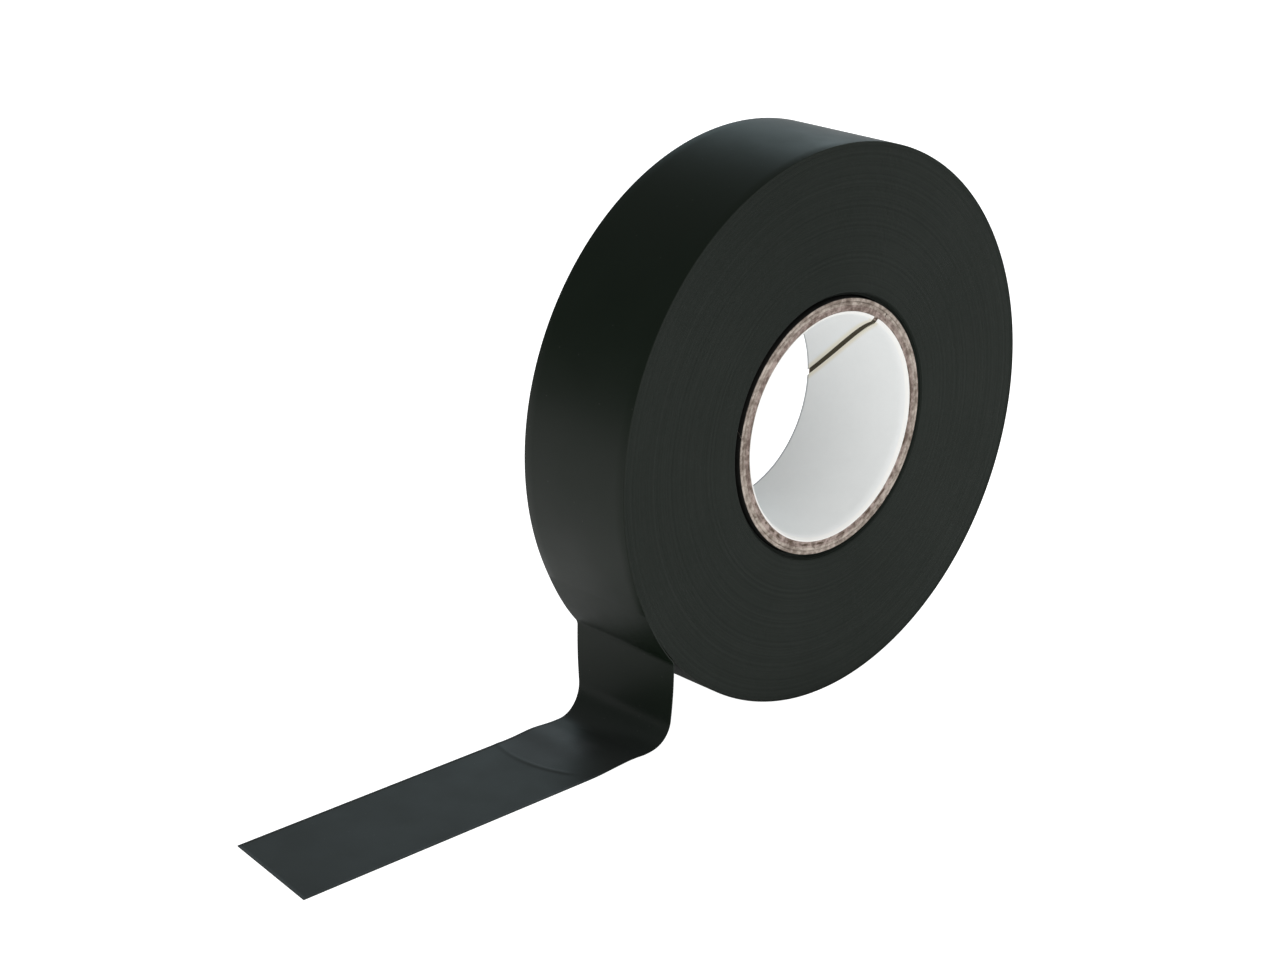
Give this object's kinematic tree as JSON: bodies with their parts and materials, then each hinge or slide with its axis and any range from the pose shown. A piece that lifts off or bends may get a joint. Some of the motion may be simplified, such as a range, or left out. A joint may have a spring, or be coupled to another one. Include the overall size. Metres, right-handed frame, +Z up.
{
  "type": "electrical tape roll",
  "caption": "Roll of black vinyl electrical tape on a paperboard core, standing on its rim with a length of tape drawn off and laid flat.",
  "frame": {"origin": "on the ground, in the middle of the footprint of the roll and the tape drawn off it", "axes": "+Z up; the drawn tape runs off towards -X; +Y is the roll's axis, away from the front face"},
  "size_m": [0.13, 0.019, 0.0792],
  "materials": {
    "black_vinyl": "satin calendered vinyl film",
    "liner_paper": "smooth white paper",
    "core_board": "raw cut edge of recycled chipboard"
  },
  "bodies": {
    "lead": {"tape_lead": "black_vinyl"},
    "roll": {"core_liner": "liner_paper", "core_ply_1": "core_board", "core_ply_2": "core_board", "core_ply_3": "core_board", "core_ply_4": "core_board", "tape_winding": "black_vinyl", "tape_outer_turn": "black_vinyl"},
    "tail": {"tape_run": "black_vinyl"},
    "tail_end": {"tape_end": "black_vinyl"}
  },
  "joints": [
    {"name": "roll_turn", "type": "hinge", "parent": "lead", "child": "roll", "pos_m": [0.02545, 0, 0.0396], "axis": [0, -1, 0], "range_deg": [0, 60]},
    {"name": "tail_draw", "type": "slide", "parent": "lead", "child": "tail", "axis": [-1, 0, 0], "range_m": [0, 0.0415]},
    {"name": "tail_lift", "type": "hinge", "parent": "tail", "child": "tail_end", "pos_m": [-0.04255, 0, 0.00006], "axis": [0, 1, 0], "range_deg": [0, 70]}
  ],
  "couplings": [
    {"joint": "tail_draw", "follows": "roll_turn", "m_per_rad": 0.0396}
  ]
}
